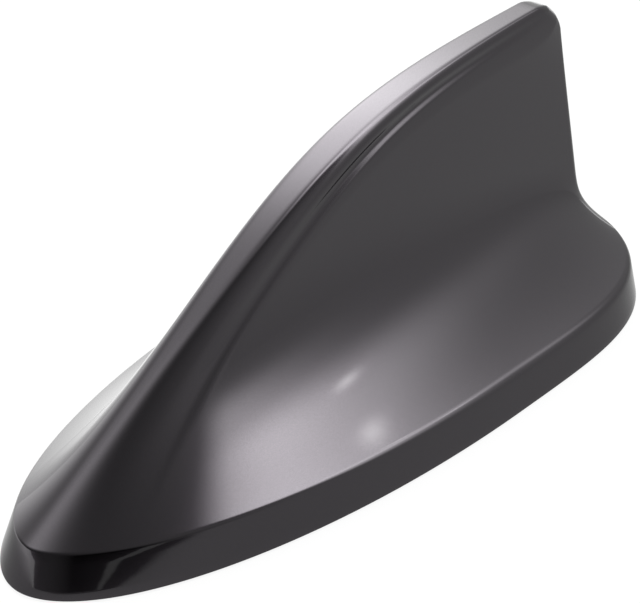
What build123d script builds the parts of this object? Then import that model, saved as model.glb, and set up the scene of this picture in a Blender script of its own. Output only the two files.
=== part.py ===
"""Roof antenna cover: a one-piece moulded shark-fin shell, hollow and open underneath.

Millimetres. +X runs from the nose to the tail, +Z is up, and the origin is the middle of the
rim plane that lies on the roof.
"""
import math
import os

from build123d import *

# Rim, the lowest outline, which lies on the roof
LENGTH = 165.0
WIDTH = 65.4
PEAK_FROM_NOSE = 101.0

# Fullness of the plan outline: ahead of its widest place at rim and crease, and behind it
NOSE_POWER = 2.03
RIM_NOSE_ROOT = 1.94
CREASE_NOSE_ROOT = 1.85
TAIL_POWER = 3.96
TAIL_ROOT = 1.85

# Skirt band from the rim up to the crease, how far the crease sits in from the rim, and how far its
# soft edge reaches at the nose and at the sides
SKIRT_HEIGHT = 8.1
NOSE_SET = 3.2
TAIL_SET = 1.3
SIDE_SET = 1.9
NOSE_SOFTNESS = 0.4
SIDE_SOFTNESS = 1.5

# Ridge: a straight ramp from the nose crease that bends into a level top
TOP_HEIGHT = 62.9
RAMP_RISE = 0.657
RAMP_BEND = 6.45

# Trailing edge: forward lean for each millimetre of rise, and its round edge
TRAIL_LEAN = 0.253
TRAIL_HALF = 2.3
TRAIL_ROUND = 2.4

# Tip: how far it stops short of the corner of ridge and trailing edge, and how deep it is rounded
TIP_CUT = 2.7
TIP_ROUND = 2.6
TIP_SECTION_COUNT = 4

# The section planes turn about a cross line behind the tail, level with the crease
HINGE_FROM_TAIL = 40.0
SECTION_COUNT = 12
SECTION_POINTS = 20
SECTION_CROWDING = 1.6

# Flare of the flanks from the fin out to the crease, in degrees of section angle
FLARE_REACH = 16.9
FLARE_POWER = 3.27
FLARE_SHARPEN = 9.3

# Fin: half thickness low down and at the tip, and the degrees over which it starts
FIN_ROOT = 6.25
FIN_TIP = 2.95
FIN_START = 3.0

# Shoulder: the place behind the ridge where the fin is thickest, and its share of a short section
SHOULDER = 12.2
SHOULDER_SHARE = 0.6
SHOULDER_BLEND = 3.0
SHOULDER_ROOT = 2.23

# Hollow under the shell: side wall, roof wall, end walls, and the least half width of the hollow
WALL = 2.0
ROOF_WALL = 2.0
END_WALL = 1.8
TRAIL_WALL = 7.0
HOLLOW_HALF = 0.4
HOLLOW_TOP_HALF = 1.2
HOLLOW_SECTION_COUNT = 8
HOLLOW_BLUNTNESS = 6
CUT_BELOW = 2.0

# Four screw bosses moulded under the deck
BOSS_RADIUS = 3.2
BOSS_HOLE_RADIUS = 1.3
BOSS_HOLE_DEPTH = 7.0
BOSS_RECESS = 1.5
BOSS_FROM_NOSE = 52.0
BOSS_FROM_TAIL = 43.0
BOSS_SPREAD = 28.0

# Stiffening ribs across the upper hollow
RIB = 1.6
RIB_CLEAR = 18.0
RIB_FROM_NOSE = 74.0
RIB_PITCH = 20.0
RIB_COUNT = 3

HINGE_X = LENGTH + HINGE_FROM_TAIL
CREASE_TAIL = LENGTH - TAIL_SET
CREASE_HALF = WIDTH / 2 - SIDE_SET


def solve(balance, low, high):
    """Root of a balance that is positive at low and negative at high."""
    for _ in range(50):
        middle = (low + high) / 2
        if balance(middle) > 0:
            low = middle
        else:
            high = middle
    return (low + high) / 2


def plan_share(share, nose_root):
    """Half width of a plan outline, as a share of its greatest, at a share of its length."""
    peak = PEAK_FROM_NOSE / LENGTH
    if share <= peak:
        return max(0.0, 1 - ((peak - share) / peak) ** NOSE_POWER) ** (1 / nose_root)
    return max(0.0, 1 - ((share - peak) / (1 - peak)) ** TAIL_POWER) ** (1 / TAIL_ROOT)


def ridge_rise(x):
    """Height of the ridge above the crease."""
    ramp = RAMP_RISE * max(x - NOSE_SET, 1e-6)
    level = TOP_HEIGHT - SKIRT_HEIGHT
    return (ramp ** -RAMP_BEND + level ** -RAMP_BEND) ** (-1 / RAMP_BEND)


def trail_x(rise):
    """Place of the trailing edge at a height above the crease."""
    return CREASE_TAIL - TRAIL_LEAN * rise


def tip_angles():
    """Section angles at which the tip's rounding starts and at which the tip ends."""
    corner = solve(lambda x: trail_x(ridge_rise(x)) - x, NOSE_SET, CREASE_TAIL)
    arm = math.hypot(HINGE_X - corner, ridge_rise(corner))
    end = math.atan2(ridge_rise(corner), HINGE_X - corner) - TIP_CUT / arm
    return end - TIP_ROUND / arm, end


TIP_START, TOP_ANGLE = tip_angles()


def tip_share(angle):
    """Share of its full section that the fin keeps as it rounds off into the tip."""
    into_tip = max(0.0, (angle - TIP_START) / (TOP_ANGLE - TIP_START))
    return math.sqrt(1 - into_tip ** 2)


def section_ends(angle):
    """Where a section plane meets the ridge and the trailing edge, drawn together in the tip."""
    slope = math.tan(angle)
    front = solve(lambda x: (HINGE_X - x) * slope - ridge_rise(x), NOSE_SET, CREASE_TAIL)
    back = solve(lambda x: trail_x((HINGE_X - x) * slope) - x, LENGTH / 2, CREASE_TAIL)
    middle = (front + back) / 2
    reach = (back - front) / 2 * tip_share(angle)
    return middle - reach, middle + reach


def fin_start(angle):
    """Share of its full thickness that the fin has reached just above the crease."""
    return 1 - math.exp(-angle / math.radians(FIN_START))


def fin_thick(angle):
    """Half thickness of the fin at its shoulder."""
    taper = FIN_ROOT + (FIN_TIP - FIN_ROOT) * angle / TOP_ANGLE
    return taper * fin_start(angle) * tip_share(angle)


def shoulder_place(chord):
    """Distance behind the ridge at which a section of the fin is thickest."""
    short = SHOULDER_SHARE * chord
    return (SHOULDER ** -SHOULDER_BLEND + short ** -SHOULDER_BLEND) ** (-1 / SHOULDER_BLEND)


def fin_half(distance, chord, angle):
    """Half thickness of the fin: full at the shoulder, tapering to a round trailing edge."""
    thick = fin_thick(angle)
    trail = min(TRAIL_HALF * fin_start(angle), thick)
    shoulder = shoulder_place(chord)
    if distance < shoulder:
        return thick * (1 - (1 - distance / shoulder) ** 2) ** (1 / SHOULDER_ROOT)
    taper = (distance - shoulder) / (chord - shoulder)
    into_round = max(0.0, 1 - (chord - distance) / min(TRAIL_ROUND, chord - shoulder))
    return (thick + (trail - thick) * taper) * math.sqrt(max(0.0, 1 - into_round ** 2))


def half_width(distance, chord, angle):
    """Half width of the whole body at a distance behind the ridge in one section."""
    flare = CREASE_HALF * max(0.0, 1 - angle / math.radians(FLARE_REACH)) ** FLARE_POWER
    share = plan_share(min(1.0, distance / chord), CREASE_NOSE_ROOT)
    return flare * share ** (1 + angle / math.radians(FLARE_SHARPEN)) + fin_half(distance, chord, angle)


def roof_height(x, y):
    """Height of the outer surface over a place in the plan."""
    def spare(angle):
        front, back = section_ends(angle)
        if not front < x < back:
            return -1.0
        return half_width(x - front, back - front, angle) - abs(y)
    angle = solve(spare, 0.0, TOP_ANGLE)
    return SKIRT_HEIGHT + (HINGE_X - x) * math.tan(angle)


def cosine_steps(count):
    """Even steps round a half circle, as shares of its width."""
    return [(1 - math.cos(math.pi * i / count)) / 2 for i in range(count + 1)]


def half_spline(points, side):
    """Smooth half outline on one side of the mid plane, leaving and meeting it squarely."""
    count = len(points) - 1
    leave = Vector(0, side * points[1].Y * count, 0)
    arrive = Vector(0, -side * points[-2].Y * count, 0)
    places = [Vector(point.X, side * point.Y, point.Z) for point in points]
    shares = [i / count for i in range(count + 1)]
    return Edge.make_spline(places, [leave, arrive], parameters=shares, scale=False)


def outline_face(points):
    """Flat face inside a half outline and its mirror image."""
    return Face(Wire([half_spline(points, 1), half_spline(points, -1)]))


def plan_outline(nose, tail, half, height, nose_root):
    """Level half outline between two places on the mid plane."""
    shares = cosine_steps(SECTION_POINTS)
    return [Vector(nose + s * (tail - nose), half * plan_share(s, nose_root), height) for s in shares]


def body_point(share, angle):
    """Point of the outer body at a share of the way from ridge to trailing edge in one section."""
    front, back = section_ends(angle)
    distance = share * (back - front)
    x = front + distance
    return Vector(x, half_width(distance, back - front, angle), SKIRT_HEIGHT + (HINGE_X - x) * math.tan(angle))


def body_outline(angle):
    """Half outline of one section of the outer body."""
    return [body_point(share, angle) for share in cosine_steps(SECTION_POINTS)]


def section_angles(top, count):
    """Angles of the section planes above the crease, closer together low down."""
    return [top * (i / count) ** SECTION_CROWDING for i in range(1, count + 1)]


def tip_section_angles():
    """Angles of the section planes through the rounded tip, even round a quarter circle."""
    turns = [math.pi / 2 * i / (TIP_SECTION_COUNT + 1) for i in range(1, TIP_SECTION_COUNT + 1)]
    return [TIP_START + (TOP_ANGLE - TIP_START) * math.sin(turn) for turn in turns]


def half_skin(outlines, ruled=False):
    """Faces over a row of half outlines."""
    return list(Shell.make_loft([Wire([half_spline(points, 1)]) for points in outlines], ruled).faces())


def closed_solid(near, bottom, top):
    """Solid inside half a skin, its mirror image and two flat ends."""
    far = [face.mirror(Plane.XZ) for face in near]
    return Solid(Shell(near + far + [outline_face(bottom), outline_face(top)]))


def crease_softness(share):
    """Reach of the crease's soft edge, which grows from the nose to the sides and fades at the tail."""
    peak = PEAK_FROM_NOSE / LENGTH
    grown = (share / peak) ** 2 if share < peak else plan_share(share, CREASE_NOSE_ROOT)
    return NOSE_SOFTNESS + (SIDE_SOFTNESS - NOSE_SOFTNESS) * grown


def soft_edge(rim, crease, highest):
    """Outlines below, along and above the crease that round it off.

    The upper one keeps to section angles below the highest that it may use.
    """
    lower = []
    upper = []
    for foot, edge, share in zip(rim, crease, cosine_steps(SECTION_POINTS)):
        down = foot - edge
        reach = crease_softness(share)
        lower.append(edge + down * (reach / down.length))
        angle = solve(lambda a: reach - (body_point(share, a) - edge).length, 0.0, highest)
        upper.append(body_point(share, angle))
    middle = [(low + edge * 2 + high) / 4 for low, edge, high in zip(lower, crease, upper)]
    return lower, middle, upper


def outer_body():
    """Outside form: the skirt band, its soft edge, and the flared fin above it."""
    rim = plan_outline(0.0, LENGTH, WIDTH / 2, 0.0, RIM_NOSE_ROOT)
    crease = plan_outline(NOSE_SET, CREASE_TAIL, CREASE_HALF, SKIRT_HEIGHT, CREASE_NOSE_ROOT)
    angles = section_angles(TIP_START, SECTION_COUNT) + tip_section_angles()
    lower, middle, upper = soft_edge(rim, crease, angles[0] / 2)
    sections = [upper] + [body_outline(angle) for angle in angles]
    skin = half_skin([rim, lower], ruled=True) + half_skin([lower, middle, upper]) + half_skin(sections)
    return closed_solid(skin, rim, sections[-1])


def inset_outline(width_at, length, end_wall, place_at):
    """Half outline one wall inside another, blunt at both ends and never quite closed between them.

    width_at gives the half width at a distance along the outline, place_at gives x and z there, and
    end_wall is the wall left at the tail end.
    """
    reach = length - END_WALL - end_wall
    points = []
    for i in range(SECTION_POINTS + 1):
        turn = i / SECTION_POINTS
        distance = END_WALL + reach * (1 - math.cos(math.pi * turn)) / 2
        room = width_at(distance) - WALL
        open_half = (room + math.hypot(room, 2 * HOLLOW_HALF)) / 2
        x, z = place_at(distance)
        points.append(Vector(x, open_half * (1 - (1 - 2 * turn) ** HOLLOW_BLUNTNESS), z))
    return points


def hollow_rim():
    """Half outline of the hollow at its mouth, carried below the rim for a clean cut."""
    def width_at(distance):
        return WIDTH / 2 * plan_share(distance / LENGTH, RIM_NOSE_ROOT)
    return inset_outline(width_at, LENGTH, END_WALL, lambda distance: (distance, -CUT_BELOW))


def hollow_outline(angle):
    """Half outline of the hollow in one section plane, one roof wall below the outer section."""
    front, back = section_ends(angle)

    def width_at(distance):
        return half_width(distance, back - front, angle)

    def place_at(distance):
        x = front + distance
        return x, SKIRT_HEIGHT - ROOF_WALL + (HINGE_X - x) * math.tan(angle)
    end_wall = END_WALL + (TRAIL_WALL - END_WALL) * fin_start(angle)
    return inset_outline(width_at, back - front, end_wall, place_at)


def hollow_top():
    """Angle of the highest section plane in which the fin has room for the hollow."""
    room = WALL + HOLLOW_TOP_HALF
    return solve(lambda angle: fin_thick(angle) - room, TIP_START / 2, TIP_START)


def hollow():
    """Solid that fills the inside of the shell."""
    mouth = hollow_rim()
    angles = [0.0] + section_angles(hollow_top(), HOLLOW_SECTION_COUNT)
    sections = [hollow_outline(angle) for angle in angles]
    skin = half_skin([mouth, sections[0]], ruled=True) + half_skin(sections)
    return closed_solid(skin, mouth, sections[-1])


def boss_places():
    """Centres of the four screw bosses in the plan."""
    lengthwise = (BOSS_FROM_NOSE, LENGTH - BOSS_FROM_TAIL)
    return [(x, side * BOSS_SPREAD / 2) for x in lengthwise for side in (-1, 1)]


def post(x, y, radius, bottom, top):
    """Upright cylinder."""
    return Pos(x, y, bottom) * Cylinder(radius, top - bottom, align=(Align.CENTER, Align.CENTER, Align.MIN))


def bosses():
    """Boss posts, long enough to run up into the roof wherever it is."""
    return [post(x, y, BOSS_RADIUS, BOSS_RECESS, TOP_HEIGHT) for x, y in boss_places()]


def boss_holes():
    """Pilot holes, stopped one roof wall short of the outside."""
    holes = []
    for x, y in boss_places():
        roof = roof_height(x, abs(y) + BOSS_HOLE_RADIUS) - ROOF_WALL
        holes.append(post(x, y, BOSS_HOLE_RADIUS, 0.0, min(BOSS_RECESS + BOSS_HOLE_DEPTH, roof)))
    return holes


def ribs():
    """Cross plates that stiffen the fin, kept clear of the space near the roof of the car."""
    height = TOP_HEIGHT - RIB_CLEAR
    plate = Box(RIB, WIDTH, height, align=(Align.CENTER, Align.CENTER, Align.MIN))
    return [Pos(RIB_FROM_NOSE + i * RIB_PITCH, 0, RIB_CLEAR) * plate for i in range(RIB_COUNT)]


def fin_shell():
    """The whole cover, centred on the rim plane."""
    room = hollow() - bosses() - ribs()
    shell = outer_body() - room - boss_holes()
    return Pos(-LENGTH / 2, 0, 0) * shell


os.makedirs("parts", exist_ok=True)
cover = fin_shell()
cover.label = "fin_shell"
export_step(cover, "parts/fin_shell.step")
print("fin_shell", round(cover.volume), "mm3", cover.bounding_box().size)
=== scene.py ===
"""Looks of a shark-fin roof antenna cover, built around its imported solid.

Sizes are written in millimetres and turned into metres as they reach a mesh. The frame is the
solid's own: +X from the nose to the tail, +Z up, and the origin in the middle of the rim plane.
"""
from __future__ import annotations

import logging
import math
from dataclasses import dataclass, field
from enum import Enum
from typing import Callable, Sequence

import bmesh
import bpy
from mathutils import Matrix, Vector

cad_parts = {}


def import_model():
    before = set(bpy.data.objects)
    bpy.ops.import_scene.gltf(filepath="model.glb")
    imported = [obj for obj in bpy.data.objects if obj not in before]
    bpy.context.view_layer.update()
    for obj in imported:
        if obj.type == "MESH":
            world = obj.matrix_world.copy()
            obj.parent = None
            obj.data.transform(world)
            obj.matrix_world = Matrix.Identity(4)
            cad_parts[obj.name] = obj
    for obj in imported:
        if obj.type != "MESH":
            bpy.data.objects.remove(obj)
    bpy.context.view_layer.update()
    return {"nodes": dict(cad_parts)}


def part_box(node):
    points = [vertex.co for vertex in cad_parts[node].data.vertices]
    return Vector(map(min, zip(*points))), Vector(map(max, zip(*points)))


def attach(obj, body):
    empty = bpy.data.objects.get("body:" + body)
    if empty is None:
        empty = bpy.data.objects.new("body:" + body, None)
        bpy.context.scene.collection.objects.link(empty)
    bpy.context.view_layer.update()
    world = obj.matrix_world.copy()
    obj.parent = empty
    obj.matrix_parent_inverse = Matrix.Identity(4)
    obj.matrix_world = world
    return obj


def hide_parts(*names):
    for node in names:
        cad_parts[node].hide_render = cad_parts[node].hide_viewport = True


LOG = logging.getLogger("antenna_cover")
MM = 0.001
NODE = "fin_shell"
BODY = "root"
IMAGE_WIDTH = 640
IMAGE_HEIGHT = 603
SEARCH_STEPS = 50
# Shortest run of the ridge's ramp, in millimetres, which keeps its power finite
SHORTEST_RUN = 1e-6
# Spare width that stands for a place off the cover
NO_ROOM = -1.0
QUARTER_TURN = 90.0
WHITE = (1.0, 1.0, 1.0, 1.0)


class ShellSide(Enum):
    """Which finish a face of the shell takes."""

    PAINTED = 0
    MOULDED = 1


def solve(balance: Callable[[float], float], low: float, high: float) -> float:
    """Finds where a falling balance crosses zero.

    Args:
        balance: positive at low and negative at high.
        low: start of the search.
        high: end of the search.

    Returns:
        The place of the crossing.
    """
    for _ in range(SEARCH_STEPS):
        middle = (low + high) / 2
        if balance(middle) > 0:
            low = middle
        else:
            high = middle
    return (low + high) / 2


def smooth_share(value: float) -> float:
    """Smooth climb from 0 to 1 as a value goes from 0 to 1."""
    held = min(1.0, max(0.0, value))
    return held ** 2 * (3 - 2 * held)


@dataclass
class FinForm:
    """Outside form of the cover, in millimetres from the nose, drawn by a fan of section planes.

    The planes turn about a cross line behind the tail, level with the crease. Angles are in degrees
    where a field says so. The ridge runs a little lower than the solid's, because its flatter crown
    would otherwise widen the outline.
    """

    length: float
    width: float
    peak_from_nose: float = 101.0
    nose_power: float = 2.03
    rim_nose_root: float = 1.94
    crease_nose_root: float = 1.85
    tail_power: float = 3.96
    tail_root: float = 1.85
    skirt_height: float = 8.1
    nose_set: float = 3.2
    tail_set: float = 1.3
    side_set: float = 1.9
    nose_softness: float = 0.4
    side_softness: float = 1.5
    soft_edge_deg: float = 0.383
    top_height: float = 62.5
    ramp_rise: float = 0.638
    ramp_bend: float = 5.5
    trail_lean: float = 0.253
    trail_half: float = 2.3
    trail_round: float = 2.4
    tip_cut: float = 2.7
    tip_round: float = 2.6
    hinge_from_tail: float = 40.0
    flare_reach_deg: float = 16.9
    flare_power: float = 3.27
    flare_sharpen_deg: float = 9.3
    fin_root: float = 6.25
    fin_tip: float = 2.95
    fin_start_deg: float = 3.0
    shoulder: float = 12.2
    shoulder_share: float = 0.6
    shoulder_blend: float = 3.0
    shoulder_root: float = 2.6
    crown_root: float = 8.5
    crown_from: float = 0.12
    crown_to: float = 0.60
    line_low: float = 12.4
    line_high: float = 3.8
    line_depth: float = 0.62
    line_width: float = 1.8
    line_start: float = 0.3
    line_fade: float = 0.18
    line_tip_fade: float = 0.45
    hinge_x: float = field(init=False)
    tip_start: float = field(init=False)
    tip_end: float = field(init=False)

    def __post_init__(self) -> None:
        """Works out the hinge and the angles between which the tip rounds off."""
        self.hinge_x = self.length + self.hinge_from_tail
        corner = solve(lambda x: self.trail_x(self.ridge_rise(x)) - x, self.nose_set, self.crease_tail)
        arm = math.hypot(self.hinge_x - corner, self.ridge_rise(corner))
        self.tip_end = math.atan2(self.ridge_rise(corner), self.hinge_x - corner) - self.tip_cut / arm
        self.tip_start = self.tip_end - self.tip_round / arm

    @property
    def crease_tail(self) -> float:
        """Place of the crease at the tail."""
        return self.length - self.tail_set

    @property
    def crease_half(self) -> float:
        """Greatest half width of the crease."""
        return self.width / 2 - self.side_set

    def plan_share(self, share: float, nose_root: float) -> float:
        """Half width of a plan outline as a share of its greatest.

        Args:
            share: place along the outline, from 0 at the nose to 1 at the tail.
            nose_root: fullness ahead of the widest place.

        Returns:
            A share from 0 to 1.
        """
        peak = self.peak_from_nose / self.length
        if share <= peak:
            return max(0.0, 1 - ((peak - share) / peak) ** self.nose_power) ** (1 / nose_root)
        behind = (share - peak) / (1 - peak)
        return max(0.0, 1 - behind ** self.tail_power) ** (1 / self.tail_root)

    def crease_softness(self, share: float) -> float:
        """Reach of the crease's soft edge, which grows from the nose to the sides and fades at the tail.

        Args:
            share: place along the crease, from 0 at the nose to 1 at the tail.

        Returns:
            Millimetres to each side of the crease.
        """
        peak = self.peak_from_nose / self.length
        grown = (share / peak) ** 2 if share < peak else self.plan_share(share, self.crease_nose_root)
        return self.nose_softness + (self.side_softness - self.nose_softness) * grown

    def ridge_rise(self, x: float) -> float:
        """Height of the ridge above the crease.

        Args:
            x: place from the nose.

        Returns:
            Height in millimetres.
        """
        ramp = self.ramp_rise * max(x - self.nose_set, SHORTEST_RUN)
        level = self.top_height - self.skirt_height
        return (ramp ** -self.ramp_bend + level ** -self.ramp_bend) ** (-1 / self.ramp_bend)

    def trail_x(self, rise: float) -> float:
        """Place of the trailing edge at a height above the crease."""
        return self.crease_tail - self.trail_lean * rise

    def tip_share(self, angle: float) -> float:
        """Share of its full section that the fin keeps as it rounds off into the tip."""
        into_tip = max(0.0, (angle - self.tip_start) / (self.tip_end - self.tip_start))
        return math.sqrt(max(0.0, 1 - into_tip ** 2))

    def section_ends(self, angle: float) -> tuple[float, float]:
        """Where a section plane meets the ridge and the trailing edge.

        Args:
            angle: section angle in radians.

        Returns:
            The two places from the nose.
        """
        slope = math.tan(angle)
        front = solve(lambda x: (self.hinge_x - x) * slope - self.ridge_rise(x),
                      self.nose_set, self.crease_tail)
        back = solve(lambda x: self.trail_x((self.hinge_x - x) * slope) - x,
                     self.length / 2, self.crease_tail)
        middle = (front + back) / 2
        reach = (back - front) / 2 * self.tip_share(angle)
        return middle - reach, middle + reach

    def fin_start(self, angle: float) -> float:
        """Share of its full thickness that the fin has reached just above the crease."""
        return 1 - math.exp(-angle / math.radians(self.fin_start_deg))

    def fin_thick(self, angle: float) -> float:
        """Half thickness of the fin at its shoulder."""
        taper = self.fin_root + (self.fin_tip - self.fin_root) * angle / self.tip_end
        return taper * self.fin_start(angle) * self.tip_share(angle)

    def crown(self, angle: float) -> float:
        """Flatness of the ridge's crown, round low on the ramp and nearly flat towards the tip."""
        climb = smooth_share((angle / self.tip_end - self.crown_from) / (self.crown_to - self.crown_from))
        return self.shoulder_root + (self.crown_root - self.shoulder_root) * climb

    def line_valley(self, distance: float, angle: float) -> float:
        """Depth of the shallow valley between the crown and the character line on the fin's side.

        Args:
            distance: millimetres behind the ridge, in the section plane.
            angle: section angle in radians.

        Returns:
            Millimetres that the side is set in.
        """
        climb = angle / self.tip_end
        line = self.line_low + (self.line_high - self.line_low) * climb
        start = self.line_start * line
        floor = line - self.line_width
        fade = smooth_share(climb / self.line_fade) * smooth_share((1 - climb) / self.line_tip_fade)
        sink = smooth_share((distance - start) / (floor - start))
        rise = smooth_share((line - distance) / self.line_width)
        return self.line_depth * fade * (sink * rise)

    def fin_half(self, distance: float, chord: float, angle: float) -> float:
        """Half thickness of the fin at a distance behind the ridge.

        Args:
            distance: millimetres behind the ridge, in the section plane.
            chord: length of the section from ridge to trailing edge.
            angle: section angle in radians.

        Returns:
            Half thickness in millimetres.
        """
        thick = self.fin_thick(angle)
        trail = min(self.trail_half * self.fin_start(angle), thick)
        short = self.shoulder_share * chord
        blend = self.shoulder_blend
        shoulder = (self.shoulder ** -blend + short ** -blend) ** (-1 / blend)
        if distance < shoulder:
            round_half = thick * (1 - (1 - distance / shoulder) ** 2) ** (1 / self.crown(angle))
            return round_half - self.line_valley(distance, angle)
        taper = (distance - shoulder) / (chord - shoulder)
        into_round = max(0.0, 1 - (chord - distance) / min(self.trail_round, chord - shoulder))
        return (thick + (trail - thick) * taper) * math.sqrt(max(0.0, 1 - into_round ** 2))

    def half_width(self, distance: float, chord: float, angle: float) -> float:
        """Half width of fin and flare together.

        Args:
            distance: millimetres behind the ridge, in the section plane.
            chord: length of the section from ridge to trailing edge.
            angle: section angle in radians.

        Returns:
            Half width in millimetres.
        """
        reach = max(0.0, 1 - angle / math.radians(self.flare_reach_deg))
        share = self.plan_share(min(1.0, distance / chord), self.crease_nose_root)
        flare = self.crease_half * reach ** self.flare_power
        sharpening = 1 + angle / math.radians(self.flare_sharpen_deg)
        return flare * share ** sharpening + self.fin_half(distance, chord, angle)

    def height(self, x: float, angle: float) -> float:
        """Height of a section plane over a place along the cover."""
        return self.skirt_height + (self.hinge_x - x) * math.tan(angle)

    def point(self, share: float, angle: float) -> Vector:
        """Point of the outside in one section.

        Args:
            share: share of the way from ridge to trailing edge.
            angle: section angle in radians.

        Returns:
            The point on the +Y side, in millimetres.
        """
        front, back = self.section_ends(angle)
        distance = share * (back - front)
        x = front + distance
        return Vector((x, self.half_width(distance, back - front, angle), self.height(x, angle)))

    def section(self, angle: float, shares: Sequence[float]) -> list[Vector]:
        """Half outline of one section.

        Args:
            angle: section angle in radians.
            shares: places from ridge to trailing edge.

        Returns:
            Points on the +Y side, in millimetres.
        """
        front, back = self.section_ends(angle)
        chord = back - front
        places = [front + share * chord for share in shares]
        return [Vector((x, self.half_width(x - front, chord, angle), self.height(x, angle))) for x in places]

    def plan(self, nose: float, tail: float, half: float, height: float, nose_root: float,
             shares: Sequence[float]) -> list[Vector]:
        """Level half outline between two places on the mid plane."""
        return [Vector((nose + s * (tail - nose), half * self.plan_share(s, nose_root), height))
                for s in shares]

    def cross_section(self, x: float, lowest: float, steps: int) -> list[Vector]:
        """Half outline of the cover cut across at one place.

        Args:
            x: place from the nose.
            lowest: height at which the outline starts.
            steps: number of steps up to the ridge.

        Returns:
            Points from the lowest one up to the ridge, on the +Y side.
        """
        low = math.atan2(lowest - self.skirt_height, self.hinge_x - x)
        top = math.atan2(self.ridge_rise(x), self.hinge_x - x)
        points = []
        for i in range(steps + 1):
            angle = low + (top - low) * math.sin(math.pi / 2 * i / steps)
            front, back = self.section_ends(angle)
            distance = max(0.0, x - front)
            points.append(Vector((x, self.half_width(distance, back - front, angle), self.height(x, angle))))
        return points


@dataclass
class Loft:
    """A skin drawn by a ring of edges that is extruded from one outline to the next."""

    mesh: bmesh.types.BMesh
    ring: list[bmesh.types.BMVert] = field(default_factory=list)
    side: ShellSide = ShellSide.PAINTED

    def start(self, outline: Sequence[Vector]) -> None:
        """Starts the ring as a circle that takes the first outline's places.

        Args:
            outline: points in millimetres.
        """
        made = bmesh.ops.create_circle(self.mesh, cap_ends=False, segments=len(outline), radius=1.0)
        self.ring = made["verts"]
        self.place(outline)

    def place(self, outline: Sequence[Vector]) -> None:
        """Moves the ring's vertices to an outline, in millimetres."""
        for vertex, point in zip(self.ring, outline):
            vertex.co = point * MM

    def ring_edges(self) -> list[bmesh.types.BMEdge]:
        """Edges between neighbouring vertices of the ring."""
        return [self.mesh.edges.get(pair) for pair in zip(self.ring, self.ring[1:] + self.ring[:1])]

    def to(self, outline: Sequence[Vector], sharp: bool = False) -> None:
        """Extrudes the ring to the next outline.

        Args:
            outline: as many points as the ring has.
            sharp: whether the edge that is left behind stays a hard one.
        """
        edges = self.ring_edges()
        made = bmesh.ops.extrude_edge_only(self.mesh, edges=edges)["geom"]
        fresh = {item for item in made if isinstance(item, bmesh.types.BMVert)}
        for face in (item for item in made if isinstance(item, bmesh.types.BMFace)):
            face.smooth = True
            face.material_index = self.side.value
        for edge in edges:
            edge.smooth = not sharp
        self.ring = [next(e.other_vert(v) for e in v.link_edges if e.other_vert(v) in fresh)
                     for v in self.ring]
        self.place(outline)

    def cap(self) -> None:
        """Closes the ring with one face."""
        face = bmesh.ops.contextual_create(self.mesh, geom=self.ring_edges())["faces"][0]
        face.smooth = True
        face.material_index = self.side.value


def closed_outline(half: Sequence[Vector]) -> list[Vector]:
    """Half outline followed by its mirror image, without doubling the two ends."""
    mirrored = [Vector((p.x, -p.y, p.z)) for p in reversed(half[1:-1])]
    return list(half) + mirrored


def circle(x: float, y: float, z: float, radius: float, steps: int) -> list[Vector]:
    """Level circle of points."""
    turns = [2 * math.pi * i / steps for i in range(steps)]
    return [Vector((x + radius * math.cos(t), y + radius * math.sin(t), z)) for t in turns]


def finished_object(name: str, mesh: bmesh.types.BMesh, shift: Vector) -> bpy.types.Object:
    """Turns a bmesh into a linked object with its place in its mesh.

    Args:
        name: the piece's name.
        mesh: the bmesh, which is freed.
        shift: move from nose coordinates to the frame, in metres.

    Returns:
        The new object, at the origin.
    """
    bmesh.ops.translate(mesh, verts=mesh.verts, vec=shift)
    bmesh.ops.recalc_face_normals(mesh, faces=mesh.faces)
    data = bpy.data.meshes.new(name)
    mesh.to_mesh(data)
    mesh.free()
    piece = bpy.data.objects.new(name, data)
    bpy.context.scene.collection.objects.link(piece)
    return piece


class NodeMaterial:
    """Small helper for a node material with one Principled shader."""

    def __init__(self, name: str) -> None:
        """Makes an empty material and its shader.

        Args:
            name: the material's name.
        """
        self.material = bpy.data.materials.new(name)
        self.material.use_nodes = True
        self.nodes = self.material.node_tree.nodes
        self.links = self.material.node_tree.links
        self.shader = self.nodes["Principled BSDF"]

    def set(self, **values: object) -> None:
        """Sets shader sockets by their names, with underscores for spaces."""
        for name, value in values.items():
            self.shader.inputs[name.replace("_", " ")].default_value = value

    def noise(self, scale: float, detail: float) -> bpy.types.Node:
        """Adds a noise texture on Object coordinates.

        Args:
            scale: noise features for each metre.
            detail: octaves.

        Returns:
            The texture node.
        """
        place = self.nodes.new("ShaderNodeTexCoord")
        texture = self.nodes.new("ShaderNodeTexNoise")
        texture.inputs["Scale"].default_value = scale
        texture.inputs["Detail"].default_value = detail
        self.links.new(place.outputs["Object"], texture.inputs["Vector"])
        return texture

    def bump(self, height: bpy.types.NodeSocket, strength: float, distance: float) -> bpy.types.NodeSocket:
        """Adds a bump node.

        Args:
            height: socket that gives the height.
            strength: share of the bump that shows.
            distance: depth in metres.

        Returns:
            The normal socket.
        """
        node = self.nodes.new("ShaderNodeBump")
        node.inputs["Strength"].default_value = strength
        node.inputs["Distance"].default_value = distance
        self.links.new(height, node.inputs["Height"])
        return node.outputs["Normal"]

    def ramp(self, value: bpy.types.NodeSocket, stops: Sequence[tuple[float, float]],
             tint: Sequence[float] = (1.0, 1.0, 1.0)) -> bpy.types.NodeSocket:
        """Adds a colour ramp of one tint.

        Args:
            value: socket that drives the ramp.
            stops: pairs of place and grey level.
            tint: red, green and blue shares of each level.

        Returns:
            The colour socket.
        """
        node = self.nodes.new("ShaderNodeValToRGB")
        while len(node.color_ramp.elements) < len(stops):
            node.color_ramp.elements.new(1.0)
        for element, (place, grey) in zip(node.color_ramp.elements, stops):
            element.position = place
            element.color = (*(grey * share for share in tint), 1.0)
        self.links.new(value, node.inputs["Fac"])
        return node.outputs["Color"]


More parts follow.
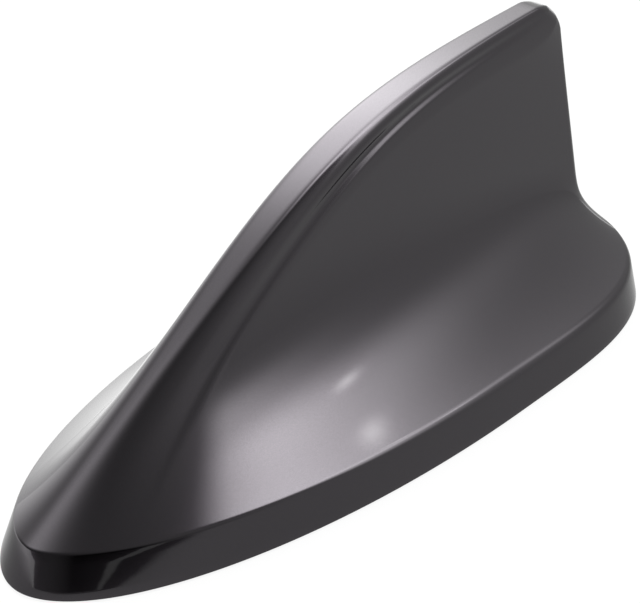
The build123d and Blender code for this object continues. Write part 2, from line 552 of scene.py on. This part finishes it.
@dataclass(frozen=True)
class ClearCoatPaint:
    """Near-black paint under a glossy clear coat, with fine flake and a trace of orange peel."""

    dark: float = 0.040
    light: float = 0.050
    tint: tuple[float, float, float] = (1.0, 0.87, 1.03)
    flake_scale: float = 5200.0
    flake_detail: float = 1.0
    flake_from: float = 0.35
    flake_to: float = 0.7
    roughness: float = 0.16
    edge: float = 0.4
    coat_ior: float = 1.5
    coat_roughness: float = 0.03
    peel_scale: float = 420.0
    peel_detail: float = 2.0
    peel_strength: float = 0.05
    peel_depth: float = 0.00004

    def material(self) -> bpy.types.Material:
        """Builds the finish.

        Returns:
            The material.
        """
        paint = NodeMaterial("gloss_paint")
        paint.set(Roughness=self.roughness, Metallic=1.0, Coat_Weight=1.0, Coat_IOR=self.coat_ior)
        paint.set(Coat_Roughness=self.coat_roughness, Specular_Tint=(self.edge, self.edge, self.edge, 1.0))
        flake = paint.noise(self.flake_scale, self.flake_detail)
        stops = ((self.flake_from, self.dark), (self.flake_to, self.light))
        colour = paint.ramp(flake.outputs["Fac"], stops, self.tint)
        paint.links.new(colour, paint.shader.inputs["Base Color"])
        peel = paint.noise(self.peel_scale, self.peel_detail)
        normal = paint.bump(peel.outputs["Fac"], self.peel_strength, self.peel_depth)
        paint.links.new(normal, paint.shader.inputs["Coat Normal"])
        return paint.material


@dataclass(frozen=True)
class MouldedPlastic:
    """Unpainted inside of the moulding: dark, matte and finely grained."""

    dark: float = 0.014
    light: float = 0.024
    grain_scale: float = 1500.0
    grain_detail: float = 3.0
    grain_from: float = 0.3
    grain_to: float = 0.75
    roughness: float = 0.55
    ior: float = 1.5
    grain_strength: float = 0.25
    grain_depth: float = 0.0001

    def material(self) -> bpy.types.Material:
        """Builds the finish.

        Returns:
            The material.
        """
        plastic = NodeMaterial("moulded_plastic")
        plastic.set(Roughness=self.roughness, Metallic=0.0, IOR=self.ior)
        grain = plastic.noise(self.grain_scale, self.grain_detail)
        stops = ((self.grain_from, self.dark), (self.grain_to, self.light))
        colour = plastic.ramp(grain.outputs["Fac"], stops)
        plastic.links.new(colour, plastic.shader.inputs["Base Color"])
        normal = plastic.bump(grain.outputs["Fac"], self.grain_strength, self.grain_depth)
        plastic.links.new(normal, plastic.shader.inputs["Normal"])
        return plastic.material


@dataclass
class FinShell:
    """The moulded shell: painted outside, rolled rim and matte hollow, as one closed skin."""

    form: FinForm
    half_columns: int = 176
    fin_rows: int = 84
    tip_rows: int = 9
    crowding: float = 1.6
    crease_steps: int = 6
    skirt_rows: int = 5
    rim_radius: float = 0.35
    rim_steps: int = 4
    wall: float = 2.0
    roof_wall: float = 2.0
    end_wall: float = 1.8
    trail_wall: float = 7.0
    hollow_half: float = 0.4
    hollow_top_half: float = 1.2
    hollow_bluntness: int = 6
    hollow_rows: int = 40

    def shares(self) -> list[float]:
        """Places along a half outline, close together at both ends."""
        return [(1 - math.cos(math.pi * i / self.half_columns)) / 2 for i in range(self.half_columns + 1)]

    def tip_angles(self) -> list[float]:
        """Section angles round the tip."""
        turns = [math.pi / 2 * i / (self.tip_rows + 1) for i in range(1, self.tip_rows + 1)]
        return [self.form.tip_start + (self.form.tip_end - self.form.tip_start) * math.sin(t) for t in turns]

    def rim(self, height: float, inset: float) -> list[Vector]:
        """Half outline of the skirt near the rim.

        Args:
            height: height above the roof.
            inset: how far inside the skirt's face, as a roll-in of the edge.

        Returns:
            Points on the +Y side.
        """
        form = self.form
        foot, edge = self.outlines()
        level = [low.lerp(high, height / form.skirt_height) for low, high in zip(foot, edge)]
        middle = form.length / 2
        squeeze_x = (middle - inset) / middle
        squeeze_y = (form.width / 2 - inset) / (form.width / 2)
        return [Vector((middle + (p.x - middle) * squeeze_x, p.y * squeeze_y, height)) for p in level]

    def outlines(self) -> tuple[list[Vector], list[Vector]]:
        """Draws the two edges of the skirt band.

        Returns:
            Half outlines of the skirt's foot and of the crease before it is rounded.
        """
        form = self.form
        shares = self.shares()
        foot = form.plan(0.0, form.length, form.width / 2, 0.0, form.rim_nose_root, shares)
        edge = form.plan(form.nose_set, form.crease_tail, form.crease_half, form.skirt_height,
                         form.crease_nose_root, shares)
        return foot, edge

    def soft_angles(self) -> list[float]:
        """Finds where the soft edge of the crease ends.

        Returns:
            A section angle in radians for each share.
        """
        form = self.form
        highest = math.radians(form.soft_edge_deg)
        angles = []
        for share, corner in zip(self.shares(), self.outlines()[1]):
            reach = form.crease_softness(share)
            angles.append(solve(lambda a: reach - (form.point(share, a) - corner).length, 0.0, highest))
        return angles

    def soft_edge(self) -> list[list[Vector]]:
        """Rounds the crease.

        Returns:
            Half outlines from the skirt up to the deck.
        """
        form = self.form
        shares = self.shares()
        foot, edge = self.outlines()
        reaches = [form.crease_softness(share) for share in shares]
        below = [e + (f - e) * (r / (f - e).length) for f, e, r in zip(foot, edge, reaches)]
        above = [form.point(share, angle) for share, angle in zip(shares, self.soft_angles())]
        band = []
        for i in range(self.crease_steps + 1):
            t = i / self.crease_steps
            band.append([low * (1 - t) ** 2 + mid * 2 * t * (1 - t) + high * t ** 2
                         for low, mid, high in zip(below, edge, above)])
        return band

    def flank(self) -> list[list[Vector]]:
        """Draws the deck and the fin's sides.

        Returns:
            Half outlines from just above the soft edge up to the start of the tip.
        """
        form = self.form
        shares = self.shares()
        starts = self.soft_angles()
        rows = []
        for i in range(1, self.fin_rows + 1):
            climb = (i / self.fin_rows) ** self.crowding
            rows.append([form.point(share, low + (form.tip_start - low) * climb)
                         for share, low in zip(shares, starts)])
        return rows

    def inset(self, width_at: Callable[[float], float], length: float, tail_wall: float,
              place_at: Callable[[float], tuple[float, float]]) -> list[Vector]:
        """Half outline one wall inside another, blunt at both ends.

        Args:
            width_at: outer half width at a distance along the outline.
            length: length of the outer outline.
            tail_wall: wall left at the tail end.
            place_at: x and z at a distance along the outline.

        Returns:
            Points on the +Y side.
        """
        reach = length - self.end_wall - tail_wall
        points = []
        for i in range(self.half_columns + 1):
            turn = i / self.half_columns
            distance = self.end_wall + reach * (1 - math.cos(math.pi * turn)) / 2
            room = width_at(distance) - self.wall
            open_half = (room + math.hypot(room, 2 * self.hollow_half)) / 2
            x, z = place_at(distance)
            points.append(Vector((x, open_half * (1 - (1 - 2 * turn) ** self.hollow_bluntness), z)))
        return points

    def mouth(self) -> list[Vector]:
        """Half outline of the hollow at the rim plane."""
        form = self.form
        return self.inset(lambda d: form.width / 2 * form.plan_share(d / form.length, form.rim_nose_root),
                          form.length, self.end_wall, lambda d: (d, 0.0))

    def hollow_section(self, angle: float) -> list[Vector]:
        """Half outline of the hollow below one section plane.

        Args:
            angle: section angle in radians.

        Returns:
            Points on the +Y side.
        """
        form = self.form
        front, back = form.section_ends(angle)
        tail_wall = self.end_wall + (self.trail_wall - self.end_wall) * form.fin_start(angle)
        return self.inset(lambda d: form.half_width(d, back - front, angle), back - front, tail_wall,
                          lambda d: (front + d, form.height(front + d, angle) - self.roof_wall))

    def hollow_angles(self) -> list[float]:
        """Spreads the hollow's sections from the crease to its top.

        Returns:
            Section angles in radians.
        """
        room = self.wall + self.hollow_top_half
        form = self.form
        top = solve(lambda a: form.fin_thick(a) - room, form.tip_start / 2, form.tip_start)
        return [top * (i / self.hollow_rows) ** self.crowding for i in range(self.hollow_rows + 1)]

    def build(self, shift: Vector) -> bpy.types.Object:
        """Draws the whole skin from the tip down to the rim and up into the hollow.

        Args:
            shift: move from nose coordinates to the frame, in metres.

        Returns:
            The shell's object.
        """
        shares = self.shares()
        loft = Loft(bmesh.new())
        soft = self.soft_edge()
        upper = soft + self.flank() + [self.form.section(angle, shares) for angle in self.tip_angles()]
        loft.start(closed_outline(upper[-1]))
        loft.cap()
        for half in reversed(upper[:-1]):
            loft.to(closed_outline(half))
        foot = self.rim(self.rim_radius, 0.0)
        for i in range(1, self.skirt_rows + 1):
            drop = i / self.skirt_rows
            loft.to(closed_outline([high.lerp(low, drop) for high, low in zip(soft[0], foot)]))
        for i in range(1, self.rim_steps + 1):
            turn = math.pi / 2 * i / self.rim_steps
            height = self.rim_radius * (1 - math.sin(turn))
            loft.to(closed_outline(self.rim(height, self.rim_radius * (1 - math.cos(turn)))))
        loft.side = ShellSide.MOULDED
        loft.to(closed_outline(self.mouth()), sharp=True)
        first = True
        for angle in self.hollow_angles():
            loft.to(closed_outline(self.hollow_section(angle)), sharp=first)
            first = False
        loft.cap()
        return finished_object("fin_shell_skin", loft.mesh, shift)

    def dress(self, piece: bpy.types.Object, paint: bpy.types.Material, plastic: bpy.types.Material) -> None:
        """Gives the shell its two finishes, hangs it on the body and hides the solid that it stands for.

        Args:
            piece: the shell's object.
            paint: finish of the outside.
            plastic: finish of the hollow.
        """
        piece.data.materials.append(paint)
        piece.data.materials.append(plastic)
        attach(piece, BODY)
        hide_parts(NODE)


@dataclass
class ScrewBosses:
    """Four blind screw bosses under the deck."""

    form: FinForm
    radius: float = 3.2
    hole_radius: float = 1.3
    hole_depth: float = 7.0
    recess: float = 1.5
    from_nose: float = 52.0
    from_tail: float = 43.0
    spread: float = 28.0
    edge: float = 0.3
    steps: int = 48
    into_roof: float = 1.0

    def places(self) -> list[tuple[float, float]]:
        """Centres of the bosses in the plan."""
        lengthwise = (self.from_nose, self.form.length - self.from_tail)
        return [(x, side * self.spread / 2) for x in lengthwise for side in (-1, 1)]

    def roof(self, x: float, y: float) -> float:
        """Height of the outside over a place in the plan.

        Args:
            x: place from the nose.
            y: place from the mid plane.

        Returns:
            Height above the roof panel.
        """
        form = self.form

        def spare(angle: float) -> float:
            """Half width left beyond y.

            Args:
                angle: section angle in radians.

            Returns:
                Millimetres, below zero off the cover.
            """
            front, back = form.section_ends(angle)
            if not front < x < back:
                return NO_ROOM
            return form.half_width(x - front, back - front, angle) - abs(y)

        return form.height(x, solve(spare, 0.0, form.tip_start))

    def build(self, shift: Vector) -> bpy.types.Object:
        """Turns each boss from the roof down, over its foot and up its blind hole.

        Args:
            shift: move from nose coordinates to the frame, in metres.

        Returns:
            One object with the four bosses.
        """
        mesh = bmesh.new()
        for x, y in self.places():
            top = self.roof(x, abs(y) + self.radius) - self.into_roof
            loft = Loft(mesh)
            rings = ((self.radius, self.recess + self.edge), (self.radius - self.edge, self.recess),
                     (self.hole_radius + self.edge, self.recess), (self.hole_radius, self.recess + self.edge),
                     (self.hole_radius, self.recess + self.hole_depth))
            loft.start(circle(x, y, top, self.radius, self.steps))
            loft.cap()
            for radius, height in rings:
                loft.to(circle(x, y, height, radius, self.steps), sharp=True)
            loft.cap()
        return finished_object("screw_bosses", mesh, shift)

    def dress(self, piece: bpy.types.Object, plastic: bpy.types.Material) -> None:
        """Gives the bosses the inside's finish.

        Args:
            piece: the bosses' object.
            plastic: the finish.
        """
        piece.data.materials.append(plastic)
        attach(piece, BODY)


@dataclass
class StiffeningRibs:
    """Cross plates in the upper hollow."""

    form: FinForm
    thickness: float = 1.6
    clear: float = 18.0
    from_nose: float = 74.0
    pitch: float = 20.0
    count: int = 3
    into_wall: float = 1.0
    steps: int = 24

    def build(self, shift: Vector) -> bpy.types.Object:
        """Draws each rib's outline just inside the outer wall and extrudes it to its thickness.

        Args:
            shift: move from nose coordinates to the frame, in metres.

        Returns:
            One object with all the ribs.
        """
        mesh = bmesh.new()
        for i in range(self.count):
            x = self.from_nose + i * self.pitch
            half = self.form.cross_section(x, self.clear, self.steps)
            inner = [Vector((x, max(0.0, p.y - self.into_wall), p.z)) for p in half[:-1]]
            inner.append(Vector((x, 0.0, half[-1].z - self.into_wall)))
            kept = [p for p in inner[:-1] if p.z < inner[-1].z and p.y > 0] + inner[-1:]
            outline = kept + [Vector((p.x, -p.y, p.z)) for p in reversed(kept[:-1])]
            front = [mesh.verts.new((p - Vector((self.thickness / 2, 0.0, 0.0))) * MM) for p in outline]
            edges = [mesh.edges.new(pair) for pair in zip(front, front[1:] + front[:1])]
            face = bmesh.ops.contextual_create(mesh, geom=edges)["faces"][0]
            made = bmesh.ops.extrude_face_region(mesh, geom=[face])["geom"]
            moved = [item for item in made if isinstance(item, bmesh.types.BMVert)]
            bmesh.ops.translate(mesh, verts=moved, vec=Vector((self.thickness * MM, 0.0, 0.0)))
        return finished_object("stiffening_ribs", mesh, shift)

    def dress(self, piece: bpy.types.Object, plastic: bpy.types.Material) -> None:
        """Gives the ribs the inside's finish.

        Args:
            piece: the ribs' object.
            plastic: the finish.
        """
        piece.data.materials.append(plastic)
        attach(piece, BODY)


@dataclass(frozen=True)
class SoftLamp:
    """A feathered lamp of the studio, far from the object.

    Azimuth runs from +X towards +Y and elevation from the floor, both in degrees. Sharpness sets how
    small it looks and level is the brightness of its middle. A flagged lamp is cut off towards the
    dark side of the room.
    """

    name: str
    azimuth: float
    elevation: float
    sharpness: float
    level: float
    flagged: bool = True

    @property
    def heading(self) -> Vector:
        """Unit vector from the object to the lamp."""
        return heading(self.azimuth, self.elevation)


def heading(azimuth: float, elevation: float) -> Vector:
    """Turns two angles into a direction.

    Args:
        azimuth: degrees from +X towards +Y.
        elevation: degrees above the floor.

    Returns:
        A unit vector.
    """
    turn = math.radians(azimuth)
    rise = math.radians(elevation)
    return Vector((math.cos(turn) * math.cos(rise), math.sin(turn) * math.cos(rise), math.sin(rise)))


class RoomNodes:
    """Helper that writes light as sums of feathered spots over the directions of the room."""

    def __init__(self, tree: bpy.types.NodeTree, coordinate: str = "Generated") -> None:
        """Clears the tree and starts it with the direction that is looked in, or a place.

        Args:
            tree: the node tree of a world or a material.
            coordinate: Generated for a world's direction, Object for a place.
        """
        self.nodes = tree.nodes
        self.links = tree.links
        self.nodes.clear()
        self.direction = self.nodes.new("ShaderNodeTexCoord").outputs[coordinate]

    def math(self, operation: str, first: object, second: object = 0.0) -> bpy.types.NodeSocket:
        """Adds a sum on two values, each a socket or a number.

        Args:
            operation: name of the operation.
            first: left-hand value.
            second: right-hand value.

        Returns:
            The result's socket.
        """
        node = self.nodes.new("ShaderNodeMath")
        node.operation = operation
        for socket, value in zip(node.inputs, (first, second)):
            if isinstance(value, bpy.types.NodeSocket):
                self.links.new(value, socket)
            else:
                socket.default_value = value
        return node.outputs[0]

    def measure(self, operation: str, other: Sequence[float]) -> bpy.types.NodeSocket:
        """Measures the direction, or the place, against a fixed vector.

        Args:
            operation: name of a vector operation that gives one number.
            other: the fixed vector.

        Returns:
            The number's socket.
        """
        node = self.nodes.new("ShaderNodeVectorMath")
        node.operation = operation
        self.links.new(self.direction, node.inputs[0])
        node.inputs[1].default_value = other
        return node.outputs["Value"]

    def along(self, axis: Vector) -> bpy.types.NodeSocket:
        """How far the direction, or the place, reaches along an axis."""
        return self.measure("DOT_PRODUCT", axis)

    def ease(self, value: bpy.types.NodeSocket, start: float, end: float, low: float = 0.0,
             high: float = 1.0) -> bpy.types.NodeSocket:
        """Adds a smooth climb between two levels.

        Args:
            value: socket that drives the climb.
            start: value at which the climb starts.
            end: value at which it ends.
            low: level before the start.
            high: level after the end.

        Returns:
            The level's socket.
        """
        node = self.nodes.new("ShaderNodeMapRange")
        node.interpolation_type = "SMOOTHSTEP"
        for name, number in (("From Min", start), ("From Max", end), ("To Min", low), ("To Max", high)):
            node.inputs[name].default_value = number
        self.links.new(value, node.inputs["Value"])
        return node.outputs["Result"]

    def surface(self, factor: bpy.types.NodeSocket, first: bpy.types.Node, second: bpy.types.Node,
                output: str) -> None:
        """Mixes two shaders and makes the mix the tree's surface.

        Args:
            factor: share of the second shader.
            first: shader node that shows at 0.
            second: shader node that shows at 1.
            output: type of the output node.
        """
        mix = self.nodes.new("ShaderNodeMixShader")
        out = self.nodes.new(output)
        self.links.new(factor, mix.inputs["Fac"])
        self.links.new(first.outputs[0], mix.inputs[1])
        self.links.new(second.outputs[0], mix.inputs[2])
        self.links.new(mix.outputs[0], out.inputs["Surface"])

    def spot(self, axis: Vector, sharpness: float, level: float) -> bpy.types.NodeSocket:
        """Feathered round spot about an axis."""
        fall = self.math("MULTIPLY", self.math("SUBTRACT", self.along(axis), 1.0), sharpness)
        return self.math("MULTIPLY", self.math("EXPONENT", fall), level)

    def total(self, parts: Sequence[bpy.types.NodeSocket]) -> bpy.types.NodeSocket:
        """Adds several values up.

        Args:
            parts: their sockets, one or more.

        Returns:
            The sum's socket.
        """
        whole = parts[0]
        for part in parts[1:]:
            whole = self.math("ADD", whole, part)
        return whole


@dataclass
class Studio:
    """Pale floor and a dim room that is lit by feathered lamps."""

    floor_reach: float = 1.5
    floor_grey: float = 0.82
    floor_share: float = 0.9
    floor_level: float = 1.0
    floor_gloss_level: float = 0.55
    floor_drop: float = 0.0003
    dim_patch: tuple[float, float] = (-0.200, -0.180)
    dim_inner: float = 0.115
    dim_outer: float = 0.155
    dim_share: float = 0.97
    far_azimuth: float = 90.0
    far_from: float = 0.02
    far_to: float = 0.06
    far_gain: float = 2.8
    room_level: float = 0.08
    dark_azimuth: float = -125.0
    dark_elevation: float = -4.0
    dark_sharpness: float = 8.8
    dark_depth: float = 1.5
    dark_share: float = 0.96
    flag_azimuth: float = -66.0
    flag_softness: float = 0.07
    lamps: tuple[SoftLamp, ...] = (
        SoftLamp("near_right", azimuth=-51.0, elevation=47.0, sharpness=56.0, level=4.2),
        SoftLamp("near_strip", azimuth=-65.0, elevation=31.0, sharpness=36.0, level=2.5),
        SoftLamp("near_rear", azimuth=-29.0, elevation=47.0, sharpness=46.0, level=2.0),
        SoftLamp("top_near", azimuth=-42.0, elevation=67.0, sharpness=40.0, level=6.0),
        SoftLamp("top", azimuth=18.0, elevation=68.0, sharpness=30.0, level=5.0),
        SoftLamp("far_top", azimuth=53.0, elevation=41.0, sharpness=22.0, level=6.0),
        SoftLamp("far_left", azimuth=76.0, elevation=56.0, sharpness=45.0, level=2.8),
        SoftLamp("backdrop", azimuth=66.0, elevation=6.0, sharpness=7.0, level=2.3, flagged=False),
        SoftLamp("rear_left", azimuth=138.0, elevation=49.0, sharpness=14.0, level=1.8, flagged=False),
        SoftLamp("near_glow", azimuth=-60.0, elevation=3.0, sharpness=1.6, level=0.5, flagged=False),
        SoftLamp("rear_glow", azimuth=0.0, elevation=28.0, sharpness=9.0, level=0.3, flagged=False),
        SoftLamp("zenith", azimuth=0.0, elevation=86.0, sharpness=60.0, level=3.5, flagged=False),
        SoftLamp("bulb_low", azimuth=-35.0, elevation=41.5, sharpness=2500.0, level=4.0),
        SoftLamp("bulb_high", azimuth=-25.5, elevation=52.0, sharpness=2500.0, level=4.0),
    )

    def floor(self) -> None:
        """Lays the pale floor, which looks white to the camera."""
        mesh = bmesh.new()
        bmesh.ops.create_grid(mesh, x_segments=1, y_segments=1, size=self.floor_reach)
        bmesh.ops.translate(mesh, verts=mesh.verts, vec=Vector((0.0, 0.0, -self.floor_drop)))
        data = bpy.data.meshes.new("pale_floor")
        mesh.to_mesh(data)
        mesh.free()
        floor = bpy.data.objects.new("pale_floor", data)
        bpy.context.scene.collection.objects.link(floor)
        floor.data.materials.append(self.floor_material())

    def floor_material(self) -> bpy.types.Material:
        """Builds the floor's material.

        Scattered light meets a matte pale surface. The camera sees mostly a steady white glow. The
        paint's gloss sees a glow alone, dim in a patch off the nose and brighter on the far side.

        Returns:
            The material.
        """
        material = bpy.data.materials.new("pale_floor")
        material.use_nodes = True
        floor = RoomNodes(material.node_tree, "Object")
        matte = floor.nodes.new("ShaderNodeBsdfDiffuse")
        matte.inputs["Color"].default_value = (self.floor_grey, self.floor_grey, self.floor_grey, 1.0)
        path = floor.nodes.new("ShaderNodeLightPath")
        away = floor.measure("DISTANCE", (*self.dim_patch, -self.floor_drop))
        dimmed = self.floor_gloss_level * (1 - self.dim_share)
        clear = floor.ease(away, self.dim_inner, self.dim_outer, dimmed, self.floor_gloss_level)
        across = floor.along(heading(self.far_azimuth, 0.0))
        far = floor.ease(across, self.far_from, self.far_to, 1.0, self.far_gain)
        for_camera = floor.math("MULTIPLY", path.outputs["Is Camera Ray"], self.floor_level)
        other = floor.math("SUBTRACT", 1.0, path.outputs["Is Camera Ray"])
        for_gloss = floor.math("MULTIPLY", other, floor.math("MULTIPLY", far, clear))
        glow = floor.nodes.new("ShaderNodeEmission")
        glow.inputs["Color"].default_value = WHITE
        floor.links.new(floor.math("ADD", for_camera, for_gloss), glow.inputs["Strength"])
        seen = floor.math("MULTIPLY", path.outputs["Is Camera Ray"], self.floor_share)
        seen = floor.math("MAXIMUM", seen, path.outputs["Is Glossy Ray"])
        seen = floor.math("MAXIMUM", seen, path.outputs["Is Transmission Ray"])
        floor.surface(seen, matte, glow, "ShaderNodeOutputMaterial")
        return material

    def room(self) -> None:
        """Lights the room with its lamps, dark on the camera's side, and lets the camera see it white."""
        world = bpy.data.worlds.new("studio_room")
        bpy.context.scene.world = world
        world.use_nodes = True
        room = RoomNodes(world.node_tree)
        spots = [(lamp, room.spot(lamp.heading, lamp.sharpness, lamp.level)) for lamp in self.lamps]
        flag_axis = heading(self.flag_azimuth + QUARTER_TURN, 0.0)
        flag = room.ease(room.along(flag_axis), -self.flag_softness, self.flag_softness)
        flagged = room.total([spot for lamp, spot in spots if lamp.flagged])
        cut = room.math("MULTIPLY", flagged, flag)
        light = room.total([cut] + [spot for lamp, spot in spots if not lamp.flagged])
        light = room.math("ADD", light, self.room_level)
        dark_axis = heading(self.dark_azimuth, self.dark_elevation)
        dark = room.spot(dark_axis, self.dark_sharpness, self.dark_depth)
        dark = room.math("MINIMUM", dark, self.dark_share)
        light = room.math("MULTIPLY", light, room.math("SUBTRACT", 1.0, dark))
        lit = room.nodes.new("ShaderNodeBackground")
        room.links.new(light, lit.inputs["Strength"])
        lit.inputs["Color"].default_value = WHITE
        white = room.nodes.new("ShaderNodeBackground")
        white.inputs["Color"].default_value = WHITE
        path = room.nodes.new("ShaderNodeLightPath")
        room.surface(path.outputs["Is Camera Ray"], lit, white, "ShaderNodeOutputWorld")

    def build(self) -> None:
        """Sets up the floor and the room with its lamps."""
        self.floor()
        self.room()
        LOG.info("room with lamps %s", ", ".join(lamp.name for lamp in self.lamps))


@dataclass
class PhotoCamera:
    """Camera at the photograph's viewing angle.

    The heading is the way that it looks in the plan, in degrees from +X, and down is how far it looks
    below level. Distance, target and nearest are in metres, the focal length and the picture's centre
    in pixels, and the sensor's width in millimetres.
    """

    heading: float = 41.076
    down: float = 31.854
    distance: float = 0.434594
    target: tuple[float, float, float] = (-0.0025, 0.0, 0.020)
    focal: float = 2282.1
    centre_x: float = 321.26
    centre_y: float = 309.456
    sensor: float = 36.0
    nearest: float = 0.01

    def place(self) -> None:
        """Creates the camera and makes it the scene's own."""
        data = bpy.data.cameras.new("photo_camera")
        data.sensor_fit = "HORIZONTAL"
        data.sensor_width = self.sensor
        data.lens = self.focal / IMAGE_WIDTH * self.sensor
        data.shift_x = (IMAGE_WIDTH / 2 - self.centre_x) / IMAGE_WIDTH
        data.shift_y = (self.centre_y - IMAGE_HEIGHT / 2) / IMAGE_WIDTH
        data.clip_start = self.nearest
        turn = math.radians(self.heading)
        dip = math.radians(self.down)
        back = Vector((-math.cos(turn) * math.cos(dip), -math.sin(turn) * math.cos(dip), math.sin(dip)))
        right = Vector((math.sin(turn), -math.cos(turn), 0.0))
        up = back.cross(right)
        camera = bpy.data.objects.new("photo_camera", data)
        axes = Matrix((right, up, back)).transposed().to_4x4()
        axes.translation = Vector(self.target) + back * self.distance
        camera.matrix_world = axes
        bpy.context.scene.collection.objects.link(camera)
        bpy.context.scene.camera = camera


def main() -> None:
    """Builds the cover, its studio and its camera."""
    logging.basicConfig(level=logging.INFO)
    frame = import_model()
    bpy.context.scene.view_settings.view_transform = "Standard"
    low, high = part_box(NODE)
    LOG.info("frame has nodes %s", sorted(frame["nodes"]))
    form = FinForm(length=(high.x - low.x) / MM, width=(high.y - low.y) / MM)
    shift = Vector((low.x, 0.0, low.z))
    paint = ClearCoatPaint().material()
    plastic = MouldedPlastic().material()
    shell = FinShell(form)
    skin = shell.build(shift)
    shell.dress(skin, paint, plastic)
    bosses = ScrewBosses(form)
    posts = bosses.build(shift)
    bosses.dress(posts, plastic)
    ribs = StiffeningRibs(form)
    plates = ribs.build(shift)
    ribs.dress(plates, plastic)
    for piece in (skin, posts, plates):
        LOG.info("piece %s with %d faces", piece.name, len(piece.data.polygons))
    Studio().build()
    PhotoCamera().place()


if __name__ == "__main__":
    main()
